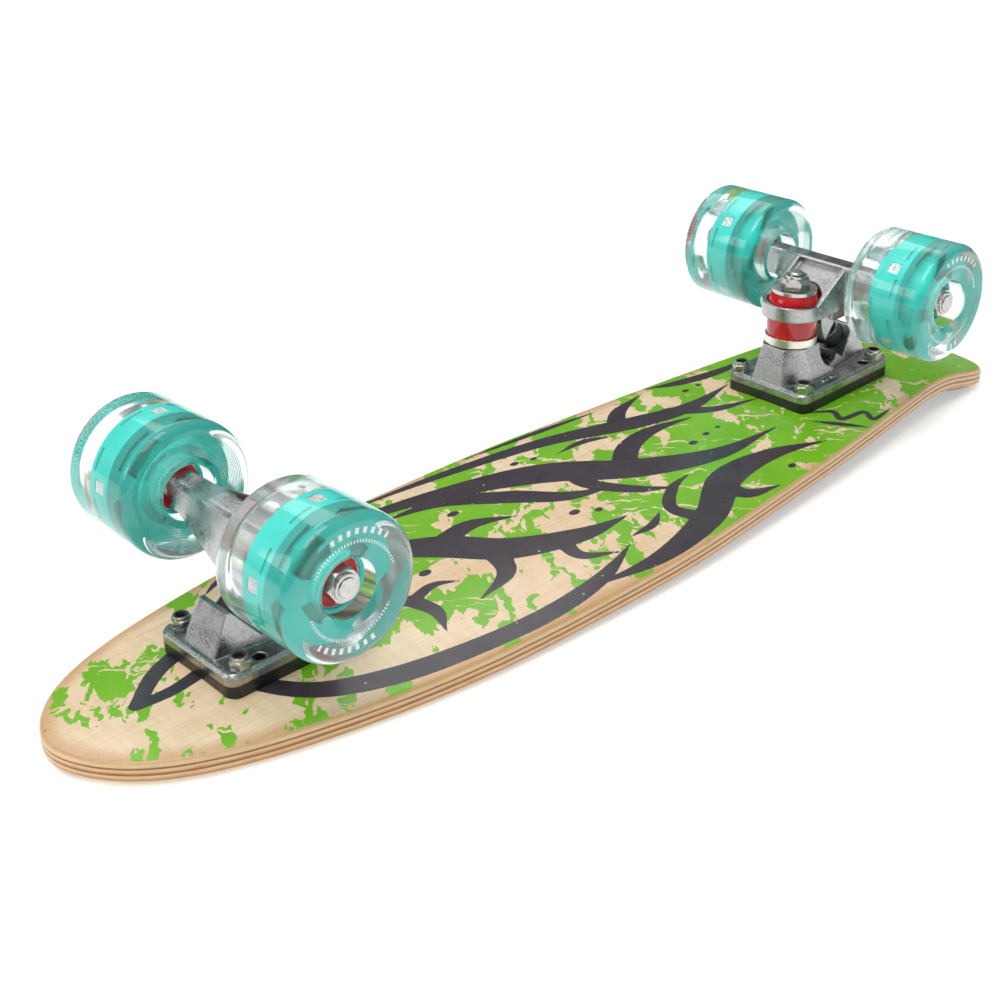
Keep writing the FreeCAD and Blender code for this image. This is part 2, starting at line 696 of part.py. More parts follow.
def core(label, place):
    """A hub that holds both bearings, and a wide rim with four light pockets and eight slots."""
    body = new_body(label, place)
    along = Placement(Vector(), SIDEWAYS)
    feature(body, "AdditiveCylinder", ("0", "-core_half_width", "0"), along,
            Radius="hub_radius", Height="2 * core_half_width")
    feature(body, "AdditiveCylinder", ("0", "-rim_inboard", "0"), along,
            Radius="core_radius", Height="rim_inboard + rim_outboard")
    window = outline_sketch(body, "XZ_Plane", (
        ("hub_radius * cos(27)", "-hub_radius * sin(27)"),
        ("core_rim_radius * cos(27)", "-core_rim_radius * sin(27)"),
        ("core_rim_radius", "0"),
        ("core_rim_radius * cos(27)", "core_rim_radius * sin(27)"),
        ("hub_radius * cos(27)", "hub_radius * sin(27)"), ("hub_radius", "0")),
        Placement(Vector(0, 0, 15), Rotation()))
    cut = body.newObject("PartDesign::Pocket", label + "_window")
    cut.Profile = window
    cut.Length = 30
    round_copies(body, [cut], 4, "Y_Axis")
    feature(body, "AdditiveCylinder", ("0", "-web_half_width", "0"), along,
            Radius="core_rim_radius + 1", Height="2 * web_half_width")
    for start in ("-core_half_width - 1", "bearing_inner"):
        feature(body, "SubtractiveCylinder", ("0", start, "0"), along,
                Radius="bearing_radius", Height="core_half_width - bearing_inner + 1")
    feature(body, "SubtractiveCylinder", ("0", "-30", "0"), along,
            Radius="shoulder_radius", Height="60")
    for turn in range(8):
        spin = Placement(Vector(), Rotation(ACROSS, 22.5 + 45 * turn))
        feature(body, "SubtractiveBox", (), spin.multiply(Placement(
            Vector(size("core_radius") - 1.2, size("rim_outboard") - 3.6, -4.5), Rotation())),
            Length="6", Width="slot_width", Height="9")
    for turn in range(4):
        spin = Placement(Vector(), Rotation(ACROSS, 45 + 90 * turn))
        feature(body, "SubtractiveBox", (), spin.multiply(
            Placement(Vector(size("core_radius") - 2, -3, -2.6), Rotation())),
            Length="6", Width="6", Height="5.2")


def led_modules(label, place):
    pieces = []
    for turn in range(4):
        spin = Placement(Vector(), Rotation(ACROSS, 45 + 90 * turn))
        pieces.append(solid("Box", "%s_%d" % (label, turn), (), spin.multiply(
            Placement(Vector(size("core_radius") - 1.98, -2.9, -2.5), Rotation())),
            Length="1.6", Width="5.8", Height="5"))
    group(label, pieces, place)


def bearing_parts(prefix, place):
    races = []
    shields = []
    balls = []
    turn = Placement(Vector(), SIDEWAYS)

    def ring(title, start, length, outer, bore):
        body = solid("Cylinder", title + "_body", ("0", start, "0"), turn, Radius=outer, Height=length)
        hole = solid("Cylinder", title + "_hole", ("0", start, "0"), turn, Radius=bore, Height=length)
        return less(title, body, hole)

    for word, start in (("near", "-bearing_outer"), ("far", "bearing_inner")):
        name = prefix + "_" + word
        width = "(bearing_outer - bearing_inner)"
        races.append(ring(name + "_race", start, width, "bearing_radius", "outer_race_bore"))
        for side, shift in (("low", "0.1"), ("high", width + " - shield_thickness - 0.1")):
            shields.append(ring(name + "_" + side + "_shield", start + " + " + shift,
                                "shield_thickness", "outer_race_bore", "inner_race_radius + 0.1"))
        for i in range(7):
            angle = "(%d * 360 / 7)" % i
            balls.append(solid("Sphere", name + "_ball_%d" % i, (
                "ball_circle * cos" + angle, start + " + " + width + " / 2", "ball_circle * sin" + angle),
                Radius="ball_radius"))
    group(prefix + "_bearing_outer_races", races, place)
    group(prefix + "_bearing_shields", shields, place)
    group(prefix + "_bearing_balls", balls, place)


for end, turn in (("nose", 180), ("tail", 0)):
    origin = Vector(size(end + "_axle_x"), 0, size("flat_height"))
    truck = Placement(origin, Rotation(UP, turn))
    riser_pad(end + "_riser_pad", truck)
    baseplate(end + "_baseplate", truck)
    pivot_cup(end + "_pivot_cup", truck.multiply(STEER))
    kingpin_stack(end, truck.multiply(LEAN))
    mounting_hardware(end, truck)
    hanger(end + "_hanger", truck)
    axle_parts(end, truck)
    for side, way in (("left", -1), ("right", 1)):
        middle = origin + Vector(0, way * size("wheel_middle"), size("axle_height"))
        facing = Rotation(UP, 0 if way > 0 else 180)
        wheel = Placement(middle, Rotation(ACROSS, size(end + "_wheel_turn")).multiply(facing))
        name = end + "_" + side
        tyre(name + "_tyre", wheel)
        core(name + "_core", wheel)
        led_modules(name + "_led_modules", wheel)
        bearing_parts(name, wheel)

# ---------------------------------------------------------------------------------------------
# Every object must have recomputed and every node must be a valid shape before it is written.

doc.recompute()
for item in doc.Objects:
    if "Invalid" in item.State or "Error" in item.State:
        raise RuntimeError("%s is %s" % (item.Label, item.State))
for item in nodes:
    if item.Shape.isNull() or not item.Shape.isValid():
        raise RuntimeError(item.Label + " has no valid shape")
os.makedirs("parts", exist_ok=True)
for item in nodes:
    item.Shape.exportStep("parts/" + item.Label + ".step")
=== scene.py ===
import math

import bmesh
import bpy
import numpy as np
from mathutils import Matrix, Vector


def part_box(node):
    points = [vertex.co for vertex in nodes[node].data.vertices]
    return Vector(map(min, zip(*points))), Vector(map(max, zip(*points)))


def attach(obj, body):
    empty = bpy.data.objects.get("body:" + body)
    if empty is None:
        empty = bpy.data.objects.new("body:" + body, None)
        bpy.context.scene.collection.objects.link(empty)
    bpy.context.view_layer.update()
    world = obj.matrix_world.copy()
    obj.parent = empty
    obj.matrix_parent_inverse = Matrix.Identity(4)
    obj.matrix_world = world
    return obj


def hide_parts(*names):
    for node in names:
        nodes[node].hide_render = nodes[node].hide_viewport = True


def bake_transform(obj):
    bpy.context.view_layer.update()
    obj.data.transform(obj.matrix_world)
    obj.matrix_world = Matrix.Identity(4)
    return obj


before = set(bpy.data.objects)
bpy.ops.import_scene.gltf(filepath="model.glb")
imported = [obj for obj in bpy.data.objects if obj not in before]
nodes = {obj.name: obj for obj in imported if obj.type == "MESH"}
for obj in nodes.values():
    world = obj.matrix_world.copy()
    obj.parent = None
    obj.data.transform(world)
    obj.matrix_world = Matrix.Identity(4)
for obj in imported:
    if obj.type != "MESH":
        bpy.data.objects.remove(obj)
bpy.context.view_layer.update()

MM = 0.001
STUDIO = bpy.context.scene
ENDS = ("nose", "tail")
SIDES = ("left", "right")


# ---------------------------------------------------------------- places read from the frame

def middle(node):
    low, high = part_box(node)
    return (Vector(low) + Vector(high)) / 2


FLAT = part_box("deck")[1].z          # the deck's flat underside, which faces up
AXLES = {end: middle(end + "_axle") for end in ENDS}
WHEELS = {(end, side): middle(end + "_" + side + "_tyre") for end in ENDS for side in SIDES}


# ---------------------------------------------------------------- camera

def look(position, yaw, pitch, roll):
    """Camera matrix from a heading, a downward pitch and a roll, in radians."""
    cy, sy, cp, sp = math.cos(yaw), math.sin(yaw), math.cos(pitch), math.sin(pitch)
    ahead = Vector((cy * cp, sy * cp, -sp))
    right = Vector((sy, -cy, 0))
    up = right.cross(ahead)
    cr, sr = math.cos(roll), math.sin(roll)
    right, up = right * cr + up * sr, up * cr - right * sr
    turn = Matrix((right, up, -ahead)).transposed().to_4x4()
    return Matrix.Translation(position) @ turn


# fitted to the photograph's outline, bolts and wheels
CAMERA_PLACE = Vector((-0.470614, -0.468041, FLAT + 0.353855))
CAMERA_YAW, CAMERA_PITCH, CAMERA_ROLL = 0.844908, 0.497826, -0.036731

lens = bpy.data.cameras.new("camera")
lens.sensor_width = 36
lens.lens = 56.54
lens.clip_start = 0.01
camera = bpy.data.objects.new("camera", lens)
camera.matrix_world = look(CAMERA_PLACE, CAMERA_YAW, CAMERA_PITCH, CAMERA_ROLL)
STUDIO.collection.objects.link(camera)
STUDIO.camera = camera


# ---------------------------------------------------------------- material builder


class Shade:
    """A small builder for one node material."""

    def __init__(self, name):
        self.mat = bpy.data.materials.new(name)
        self.mat.use_nodes = True
        self.tree = self.mat.node_tree
        self.tree.nodes.clear()
        self.out = self.tree.nodes.new("ShaderNodeOutputMaterial")
        self.bsdf = self.tree.nodes.new("ShaderNodeBsdfPrincipled")
        self.tree.links.new(self.bsdf.outputs[0], self.out.inputs["Surface"])
        self.coords = self.tree.nodes.new("ShaderNodeTexCoord").outputs["Object"]

    def put(self, socket, value):
        if isinstance(value, bpy.types.NodeSocket):
            self.tree.links.new(value, socket)
        elif value is not None:
            socket.default_value = value

    def set(self, **values):
        for name, value in values.items():
            self.put(self.bsdf.inputs[name.replace("_", " ")], value)
        return self

    def math(self, kind, a, b=None, c=None, clamp=False):
        node = self.tree.nodes.new("ShaderNodeMath")
        node.operation = kind
        node.use_clamp = clamp
        for socket, value in zip(node.inputs, (a, b, c)):
            self.put(socket, value)
        return node.outputs[0]

    def pattern(self, kind, scale, stretch, coords):
        """A pattern node whose size is set by scale, stretched along each axis."""
        place = self.tree.nodes.new("ShaderNodeMapping")
        place.inputs["Scale"].default_value = [scale * s for s in stretch]
        self.tree.links.new(coords or self.coords, place.inputs["Vector"])
        node = self.tree.nodes.new(kind)
        node.inputs["Scale"].default_value = 1.0
        self.tree.links.new(place.outputs[0], node.inputs["Vector"])
        return node

    def noise(self, scale, detail=4.0, rough=0.55, stretch=(1, 1, 1), coords=None, warp=0.0):
        node = self.pattern("ShaderNodeTexNoise", scale, stretch, coords)
        node.inputs["Detail"].default_value = detail
        node.inputs["Roughness"].default_value = rough
        node.inputs["Distortion"].default_value = warp
        return node.outputs["Fac"]

    def cells(self, scale, stretch=(1, 1, 1), coords=None, output="Distance"):
        return self.pattern("ShaderNodeTexVoronoi", scale, stretch, coords).outputs[output]

    def ramp(self, fac, *stops, ease="LINEAR"):
        node = self.tree.nodes.new("ShaderNodeValToRGB")
        node.color_ramp.interpolation = ease
        points = node.color_ramp.elements
        while len(points) < len(stops):
            points.new(0.5)
        for point, (place, value) in zip(points, stops):
            point.position = place
            shade = value if isinstance(value, tuple) else (value, value, value)
            point.color = (*shade, 1.0)
        self.put(node.inputs["Fac"], fac)
        return node.outputs["Color"]

    def mix(self, fac, a, b, kind="MIX"):
        node = self.tree.nodes.new("ShaderNodeMix")
        node.data_type = "RGBA"
        node.blend_type = kind
        for socket, value in zip((node.inputs[0], node.inputs[6], node.inputs[7]), (fac, a, b)):
            if isinstance(value, tuple):
                value = (*value, 1.0)
            self.put(socket, value)
        return node.outputs[2]

    def attribute(self, name):
        node = self.tree.nodes.new("ShaderNodeAttribute")
        node.attribute_name = name
        return node.outputs["Fac"]

    def split(self, coords=None):
        node = self.tree.nodes.new("ShaderNodeSeparateXYZ")
        self.put(node.inputs[0], coords or self.coords)
        return node.outputs

    def rounded(self, radius):
        """Normals softened over an edge radius, and a mask that is 1 on the edges."""
        bevel = self.tree.nodes.new("ShaderNodeBevel")
        bevel.samples = 4
        bevel.inputs["Radius"].default_value = radius
        face = self.tree.nodes.new("ShaderNodeNewGeometry")
        dot = self.tree.nodes.new("ShaderNodeVectorMath")
        dot.operation = "DOT_PRODUCT"
        self.tree.links.new(bevel.outputs[0], dot.inputs[0])
        self.tree.links.new(face.outputs["Normal"], dot.inputs[1])
        bend = self.math("SUBTRACT", 1.0, dot.outputs["Value"])
        edge = self.ramp(bend, (0.01, 0.0), (0.12, 1.0))
        return bevel.outputs[0], edge

    def bump(self, height, strength, distance, normal=None):
        node = self.tree.nodes.new("ShaderNodeBump")
        node.inputs["Strength"].default_value = strength
        node.inputs["Distance"].default_value = distance
        self.put(node.inputs["Height"], height)
        if normal is not None:
            self.tree.links.new(normal, node.inputs["Normal"])
        return node.outputs[0]

    def lets_light_in(self, tint):
        """Lamps shine through, as they do through clear urethane, in place of a black shadow."""
        path = self.tree.nodes.new("ShaderNodeLightPath")
        clear = self.tree.nodes.new("ShaderNodeBsdfTransparent")
        clear.inputs["Color"].default_value = (*tint, 1.0)
        blend = self.tree.nodes.new("ShaderNodeMixShader")
        self.tree.links.new(path.outputs["Is Shadow Ray"], blend.inputs[0])
        self.tree.links.new(self.bsdf.outputs[0], blend.inputs[1])
        self.tree.links.new(clear.outputs[0], blend.inputs[2])
        self.tree.links.new(blend.outputs[0], self.out.inputs["Surface"])
        return self


# ---------------------------------------------------------------- floor and light

FLOOR_LEAN = math.radians(1.33)     # the surface leans with the board, which rests on its tail tip
TAIL_TIP = 0.283                    # where the tail tip touches, along X
FLOOR_REACH = 12.0
FLOOR_DROP = 0.0001
LIGHTS = (  # name, place, target, width, height, watts
    ("key", (-0.55, -0.1, 1.9), (0, 0, 0), 1.3, 1.3, 20),
    ("back", (0.6, 1.2, 1.5), (0.05, 0, 0.03), 1.4, 0.6, 6),
    ("side", (-1.5, 0.9, 0.8), (-0.1, 0, 0.05), 0.8, 0.5, 4),
)
SKY_STRENGTH = 0.62
SKY_LOW = (0.02, (0.09, 0.093, 0.10, 1))
SKY_MIDDLE = (0.42, (0.30, 0.305, 0.315, 1))
SKY_HIGH = (0.9, (1.0, 1.0, 1.0, 1))


def floor_material():
    s = Shade("studio_floor")
    tone = s.ramp(s.noise(1.3, 2.0), (0.3, (0.955, 0.955, 0.955)), (0.7, (0.975, 0.975, 0.975)))
    return s.set(Base_Color=tone, Roughness=0.6, Specular_IOR_Level=0.2, Emission_Color=tone,
                 Emission_Strength=0.45).mat


def floor():
    mesh = bpy.data.meshes.new("floor")
    xs = (TAIL_TIP - FLOOR_REACH, TAIL_TIP + FLOOR_REACH)
    slope = math.tan(FLOOR_LEAN)
    corners = [(x, y, (TAIL_TIP - x) * slope - FLOOR_DROP)
               for x in xs for y in (-FLOOR_REACH, FLOOR_REACH)]
    mesh.from_pydata(corners, [], [(0, 2, 3, 1)])
    item = bpy.data.objects.new("floor", mesh)
    mesh.materials.append(floor_material())
    STUDIO.collection.objects.link(item)


def soft_light(name, place, target, width, height, power):
    data = bpy.data.lights.new(name, "AREA")
    data.shape = "RECTANGLE"
    data.size, data.size_y = width, height
    data.energy = power
    item = bpy.data.objects.new(name, data)
    item.location = place
    item.rotation_euler = (Vector(target) - Vector(place)).to_track_quat("-Z", "Y").to_euler()
    STUDIO.collection.objects.link(item)


def sky():
    """A pale studio that is darker towards the floor, which the metal reflects."""
    world = bpy.data.worlds.new("studio")
    STUDIO.world = world
    world.use_nodes = True
    tree = world.node_tree
    back = tree.nodes["Background"]
    back.inputs["Strength"].default_value = SKY_STRENGTH
    coords = tree.nodes.new("ShaderNodeTexCoord")
    part = tree.nodes.new("ShaderNodeSeparateXYZ")
    ramp = tree.nodes.new("ShaderNodeValToRGB")
    points = ramp.color_ramp.elements
    points[0].position, points[0].color = SKY_LOW
    points[1].position, points[1].color = SKY_HIGH
    points.new(SKY_MIDDLE[0]).color = SKY_MIDDLE[1]
    tree.links.new(coords.outputs["Generated"], part.inputs[0])
    tree.links.new(part.outputs["Z"], ramp.inputs["Fac"])
    tree.links.new(ramp.outputs["Color"], back.inputs["Color"])


floor()
sky()
for light in LIGHTS:
    soft_light(*light)
STUDIO.view_settings.view_transform = "Standard"


# ---------------------------------------------------------------- deck

HALF_OUTLINE = ((-285, 0), (-279.5, 17.5), (-264, 34.5), (-238, 48.3), (-205, 58), (-160, 66.6),
                (-110, 71.6), (-50, 73), (0, 72.2), (60, 67.2), (120, 61.2), (180, 53.6),
                (235, 47.4), (262, 46), (277, 40.5), (283.6, 24), (285, 0))
DECK_THICK = 9.5
CROWN = 605.0
KICK_START, KICK_RADIUS, KICK_ANGLE = 207.0, 160.0, math.radians(14)
ROUNDING = 2.4                      # radius of the deck's edges
OUTLINE_STEPS = 1100                # points along the outline
FLAT_RINGS, EDGE_RINGS, GRIP_RINGS, ROUNDING_STEPS = 50, 8, 8, 6
SPINE = (-236, 246)                 # the flat side's rings shrink onto this stretch of X
WELD = 2e-5
CURVE_STEPS = 400                   # fine steps between two outline points
PRINT_FAR, PRINT_REACH = 12.0, 16   # distance given where no stroke is near, and what is near


def spline_loop(points, count):
    """Points evenly spaced along a closed smooth curve through the given ones."""
    p = np.array(points, float)
    n = len(p)
    span = np.sqrt(np.linalg.norm(np.roll(p, -1, 0) - p, axis=1))
    knots = np.concatenate([[0], np.cumsum(span)])
    # second derivatives of the periodic cubic through the points
    h = np.diff(knots)
    a = np.zeros((n, n))
    b = np.zeros((n, 2))
    for i in range(n):
        before, after = h[i - 1], h[i]
        a[i, i - 1] += before
        a[i, i] += 2 * (before + after)
        a[i, (i + 1) % n] += after
        b[i] = 6 * ((p[(i + 1) % n] - p[i]) / after - (p[i] - p[i - 1]) / before)
    m = np.linalg.solve(a, b)
    fine = []
    for i in range(n):
        t = np.linspace(0, h[i], CURVE_STEPS, endpoint=False)[:, None]
        q, s = (i + 1) % n, h[i]
        fine.append(m[i] * (s - t) ** 3 / (6 * s) + m[q] * t ** 3 / (6 * s)
                    + (p[i] / s - m[i] * s / 6) * (s - t) + (p[q] / s - m[q] * s / 6) * t)
    fine = np.concatenate(fine)
    closed = np.vstack([fine, fine[:1]])
    length = np.concatenate([[0], np.cumsum(np.linalg.norm(np.diff(closed, axis=0), axis=1))])
    at = np.linspace(0, length[-1], count, endpoint=False)
    return np.stack([np.interp(at, length, closed[:, k]) for k in (0, 1)], 1)


def deck_point(x, y, depth):
    """A point of the crowned, kicked deck, in mm: plan place and depth under the flat side."""
    lift = np.sqrt((CROWN - depth) ** 2 - y ** 2) - CROWN
    sine = np.clip((x - KICK_START) / (KICK_RADIUS + lift), 0, math.sin(KICK_ANGLE))
    cosine = np.sqrt(1 - sine ** 2)
    z = np.where(x > KICK_START, (KICK_RADIUS + lift) * cosine - KICK_RADIUS, lift)
    end_x = KICK_START + (KICK_RADIUS + lift) * math.sin(KICK_ANGLE)
    z = z - np.maximum(x - end_x, 0) * math.tan(KICK_ANGLE)
    return np.stack([x, y, z + FLAT * 1000], -1)


def ribbon(points, widths, steps=14):
    """A tapered stroke as short segments: a smooth line through the points with half widths."""
    p = np.array(points, float)
    p = np.vstack([2 * p[0] - p[1], p, 2 * p[-1] - p[-2]])
    w = np.array([widths[0], *widths, widths[-1]], float)
    rows = np.column_stack([p, w])
    line = []
    for a, b, c, d in zip(rows, rows[1:], rows[2:], rows[3:]):
        for t in np.linspace(0, 1, steps, endpoint=False):
            line.append(0.5 * (2 * b + (c - a) * t + (2 * a - 5 * b + 4 * c - d) * t ** 2
                               + (3 * b - a - 3 * c + d) * t ** 3))
    line.append(rows[-2])
    return np.array(line)


# the dark print: a chevron, a long ribbon and loose flames, thorns and drops
STROKES = (
    (((-210, 21), (-231, 12), (-248, -2)), (4.2, 3.8, 3.2)),
    (((-248, -2), (-232, -3), (-212, 1)), (3.2, 3.2, 3.6)),
    (((-212, 1), (-206, -22), (-190, -42), (-160, -55), (-120, -62), (-84, -64), (-50, -60),
      (-22, -50)), (3.6, 4.4, 5.0, 5.4, 4.8, 4.6, 3.6, 0.4)),
    (((-150, 62), (-100, 58), (-50, 46), (-6, 26), (30, -4), (70, -22), (114, -24)),
     (0.4, 3.2, 6.5, 10.5, 9.5, 5.5, 0.4)),
    (((26, 0), (44, 14), (66, 19), (94, 14)), (6.5, 6.0, 4.2, 0.4)),
    (((6, 18), (2, 2), (14, -18), (30, -30)), (5.0, 4.6, 3.6, 0.4)),
    (((-100, 70), (-40, 64), (20, 52), (66, 33), (100, 24), (138, 28)),
     (0.4, 3.2, 5.2, 7.2, 5.0, 0.4)),
    (((58, 36), (74, 49), (98, 56)), (5.2, 4.0, 0.4)),
    (((90, 28), (108, 12), (134, 4)), (4.4, 3.4, 0.4)),
    (((-62, -62), (-20, -66), (22, -58), (54, -41), (88, -40), (122, -50)),
     (0.4, 4.2, 7.2, 8.2, 5.0, 0.4)),
    (((46, -44), (52, -57), (70, -62)), (6.0, 3.8, 0.4)),
    (((20, -58), (14, -42), (28, -30), (44, -26)), (4.5, 3.6, 2.6, 0.4)),
    (((-142, 32), (-114, 26), (-88, 8), (-66, -16), (-34, -30), (-4, -33)),
     (0.4, 5.2, 9.5, 9.0, 5.6, 0.4)),
    (((-86, 8), (-64, 12), (-42, 2)), (6.0, 4.4, 0.4)),
    (((-72, -12), (-80, -30), (-102, -38)), (6.0, 4.2, 0.4)),
    (((-44, -27), (-46, -42), (-30, -52)), (4.2, 3.2, 0.4)),
    (((-92, 46), (-60, 40), (-34, 20), (-14, 0), (10, -10)), (0.4, 4.2, 6.4, 4.4, 0.4)),
    (((-146, 8), (-130, -10), (-122, -30), (-128, -46)), (0.3, 3.8, 3.8, 0.4)),
    (((-126, -20), (-110, -16), (-98, -22)), (3.0, 2.2, 0.3)),
    (((-20, -46), (-4, -46), (8, -40)), (0.3, 2.2, 0.3)),
    (((14, 36), (34, 36), (50, 28)), (0.3, 2.4, 0.3)),
    (((-24, 70), (30, 64), (70, 58)), (0.3, 2.2, 0.3)),
    (((104, 60), (124, 50), (150, 44), (172, 45)), (0.4, 3.8, 3.4, 0.4)),
    (((136, -24), (148, -33), (145, -41), (160, -44), (158, -52), (178, -50)),
     (0.4, 1.7, 1.7, 1.6, 1.5, 0.3)),
    (((130, -30), (140, -44), (150, -57)), (0.3, 2.0, 0.3)),
    (((-184, 50), (-170, 58), (-150, 62)), (0.3, 1.8, 0.3)),
)
DROPS = ((-106, -6, 3.4, 2.2), (-62, 26, 3.4, 2.2), (-50, 30, 2.6, 1.8), (-22, -14, 3.2, 2.1),
         (-12, -20, 2.5, 1.7), (70, -6, 3.0, 2.0), (82, -4, 2.4, 1.6),
         (92, -3, 1.8, 1.3), (-6, 44, 2.8, 1.9), (4, 41, 2.2, 1.5), (116, 40, 2.6, 1.7),
         (126, 40, 2.0, 1.4), (-118, 10, 2.8, 1.9), (-110, 4, 2.2, 1.6), (88, -54, 2.6, 1.7))


def print_distance(x, y):
    """Signed distance in mm to the dark print: negative inside."""
    best = np.full(x.shape, PRINT_FAR)
    for points, widths in STROKES:
        line = ribbon(points, widths)
        low = line[:, :2].min(0) - PRINT_REACH
        high = line[:, :2].max(0) + PRINT_REACH
        near = (x > low[0]) & (x < high[0]) & (y > low[1]) & (y < high[1])
        px, py = x[near], y[near]
        d = best[near]
        for (ax, ay, aw), (bx, by, bw) in zip(line, line[1:]):
            ux, uy = bx - ax, by - ay
            t = np.clip(((px - ax) * ux + (py - ay) * uy) / max(ux * ux + uy * uy, 1e-9), 0, 1)
            off = np.hypot(px - ax - t * ux, py - ay - t * uy)
            d = np.minimum(d, off - (aw + t * (bw - aw)))
        best[near] = d
    for cx, cy, rx, ry in DROPS:
        d = (np.hypot((x - cx) / rx, (y - cy) / ry) - 1) * ry
        best = np.minimum(best, d)
    return best


def new_mesh(name, verts, faces, scale=MM):
    mesh = bpy.data.meshes.new(name)
    mesh.from_pydata((np.asarray(verts) * scale).tolist(), [], faces)
    mesh.validate()
    mesh.update()
    mesh.polygons.foreach_set("use_smooth", [True] * len(mesh.polygons))
    item = bpy.data.objects.new(name, mesh)
    STUDIO.collection.objects.link(item)
    return item


def vertex_layer(item, name, values):
    """One number on each vertex, which the material reads by its name."""
    layer = item.data.attributes.new(name, "FLOAT", "POINT")
    layer.data.foreach_set("value", values.astype(np.float32))


def deck():
    """Rings from the spine of the flat side, over the rounded edge, to the riding face."""
    count = OUTLINE_STEPS
    mirrored = [(x, -y) for x, y in HALF_OUTLINE[-2:0:-1]]
    loop = spline_loop(list(HALF_OUTLINE) + mirrored, count)
    ahead = np.roll(loop, -1, 0) - np.roll(loop, 1, 0)
    ahead /= np.linalg.norm(ahead, axis=1)[:, None]
    inward = np.stack([ahead[:, 1], -ahead[:, 0]], 1)
    if ((loop + inward) ** 2).sum() > (loop ** 2).sum():
        inward = -inward
    spine = np.stack([np.clip(loop[:, 0], *SPINE), np.zeros(count)], 1)
    rings = []
    depths = []

    def ring(inset, depth, share=0.0):
        edge = loop + inward * inset
        plan = edge + (spine - edge) * share
        rings.append(deck_point(plan[:, 0], plan[:, 1], depth))
        depths.append(depth)

    corner = [math.radians(90 * k / ROUNDING_STEPS) for k in range(ROUNDING_STEPS + 1)]
    for k in range(FLAT_RINGS, 0, -1):
        ring(ROUNDING, 0.0, k / FLAT_RINGS)
    for turn in corner:
        ring(ROUNDING * (1 - math.sin(turn)), ROUNDING * (1 - math.cos(turn)))
    for k in range(1, EDGE_RINGS):
        ring(0.0, ROUNDING + (DECK_THICK - 2 * ROUNDING) * k / EDGE_RINGS)
    for turn in reversed(corner):
        ring(ROUNDING * (1 - math.sin(turn)), DECK_THICK - ROUNDING * (1 - math.cos(turn)))
    for k in range(1, GRIP_RINGS + 1):
        ring(ROUNDING, DECK_THICK, k / GRIP_RINGS)
    verts = np.concatenate(rings)
    first = np.arange(count)
    faces = []
    for r in range(len(rings) - 1):
        a = r * count + first
        b = r * count + (first + 1) % count
        faces += np.stack([a, b, b + count, a + count], 1).tolist()
    item = new_mesh("deck_board", verts, faces)
    vertex_layer(item, "print_gap", print_distance(verts[:, 0], verts[:, 1]))
    vertex_layer(item, "ply", np.repeat(np.array(depths) / DECK_THICK, count))
    inset = np.concatenate([np.linalg.norm(r[:, :2] - loop, axis=1) for r in rings])
    vertex_layer(item, "inset", inset)
    work = bmesh.new()
    work.from_mesh(item.data)
    bmesh.ops.remove_doubles(work, verts=work.verts, dist=WELD)
    bmesh.ops.recalc_face_normals(work, faces=work.faces)
    work.to_mesh(item.data)
    work.free()
    item.data.materials.append(deck_material())
    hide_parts("deck")
    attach(item, "board")


